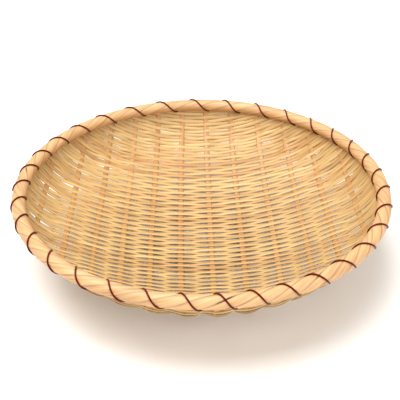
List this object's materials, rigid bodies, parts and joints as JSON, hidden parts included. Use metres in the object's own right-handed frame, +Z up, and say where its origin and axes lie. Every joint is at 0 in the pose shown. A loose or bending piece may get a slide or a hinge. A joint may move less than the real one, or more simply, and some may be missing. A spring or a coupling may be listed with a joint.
{
  "type": "winnowing basket",
  "caption": "Round shallow bamboo winnowing basket: fine wefts woven over flat ribs into an open dish, with a strip-wrapped rim lashed with dark wire.",
  "frame": {"origin": "under the middle of the dish, at the height of its lowest weft, where it rests", "axes": "+Z up out of the open dish, ribs along Y from front (-Y) to back, wefts along X"},
  "size_m": [0.3826, 0.3833, 0.087],
  "materials": {
    "rib_bamboo": "split bamboo, smooth outer skin, warm orange tan",
    "weft_bamboo": "thin split bamboo, satin, straw yellow",
    "rim_bamboo": "smooth bamboo skin, satin, pale peach yellow",
    "lashing_wire": "enamelled wire, glossy dark red brown"
  },
  "bodies": {
    "root": {"rib_01": "rib_bamboo", "rib_02": "rib_bamboo", "rib_03": "rib_bamboo", "rib_04": "rib_bamboo", "rib_05": "rib_bamboo", "rib_06": "rib_bamboo", "rib_07": "rib_bamboo", "rib_08": "rib_bamboo", "rib_09": "rib_bamboo", "rib_10": "rib_bamboo", "rib_11": "rib_bamboo", "rib_12": "rib_bamboo", "weft_band_01": "weft_bamboo", "weft_band_02": "weft_bamboo", "weft_band_03": "weft_bamboo", "weft_band_04": "weft_bamboo", "weft_band_05": "weft_bamboo", "weft_band_06": "weft_bamboo", "weft_band_07": "weft_bamboo", "weft_band_08": "weft_bamboo", "weft_band_09": "weft_bamboo", "weft_band_10": "weft_bamboo", "weft_band_11": "weft_bamboo", "weft_band_12": "weft_bamboo", "weft_band_13": "weft_bamboo", "rim_inner_hoop": "rim_bamboo", "rim_outer_hoop": "rim_bamboo", "rim_strip_01": "rim_bamboo", "rim_strip_02": "rim_bamboo", "rim_strip_03": "rim_bamboo", "rim_strip_04": "rim_bamboo", "rim_strip_05": "rim_bamboo", "rim_strip_06": "rim_bamboo", "rim_lashing": "lashing_wire"}
  },
  "joints": []
}
